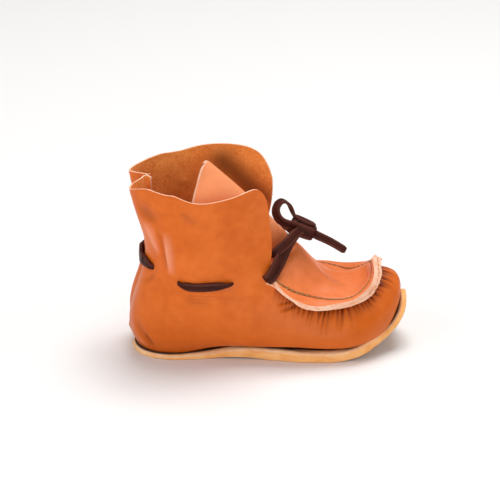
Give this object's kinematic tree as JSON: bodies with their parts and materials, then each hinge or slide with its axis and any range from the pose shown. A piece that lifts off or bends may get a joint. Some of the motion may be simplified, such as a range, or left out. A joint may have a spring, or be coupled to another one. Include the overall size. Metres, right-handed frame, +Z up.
{
  "type": "upturned toe shoe",
  "caption": "Child's soft leather moccasin boot with an upturned toe, a gathered vamp under a raised apron seam, a pointed tongue, a loose ankle shaft and a tied leather lace.",
  "frame": {"origin": "middle of the shoe's box, on the floor that it stands on, the half bow left out", "axes": "+X from heel to toe, +Y to the shoe's left, +Z up"},
  "size_m": [0.1338, 0.0614, 0.0944],
  "materials": {
    "sole_leather": "natural vegetable-tanned sole leather, cut edge showing",
    "insole_suede": "flesh side, matt",
    "upper_leather": "smooth orange-tan grain, soft sheen; suede inside",
    "apron_leather": "smooth orange-tan grain, soft sheen",
    "lace_leather": "dark brown flat thong, satin"
  },
  "bodies": {
    "root": {"outsole": "sole_leather", "insole": "insole_suede", "upper": "upper_leather", "apron_tongue": "apron_leather", "lace_heel": "lace_leather", "lace_near_side": "lace_leather", "lace_far_side": "lace_leather", "lace_front": "lace_leather", "lace_knot": "lace_leather", "lace_loop": "lace_leather", "lace_end": "lace_leather", "lace_tucked_end": "lace_leather"}
  },
  "joints": []
}
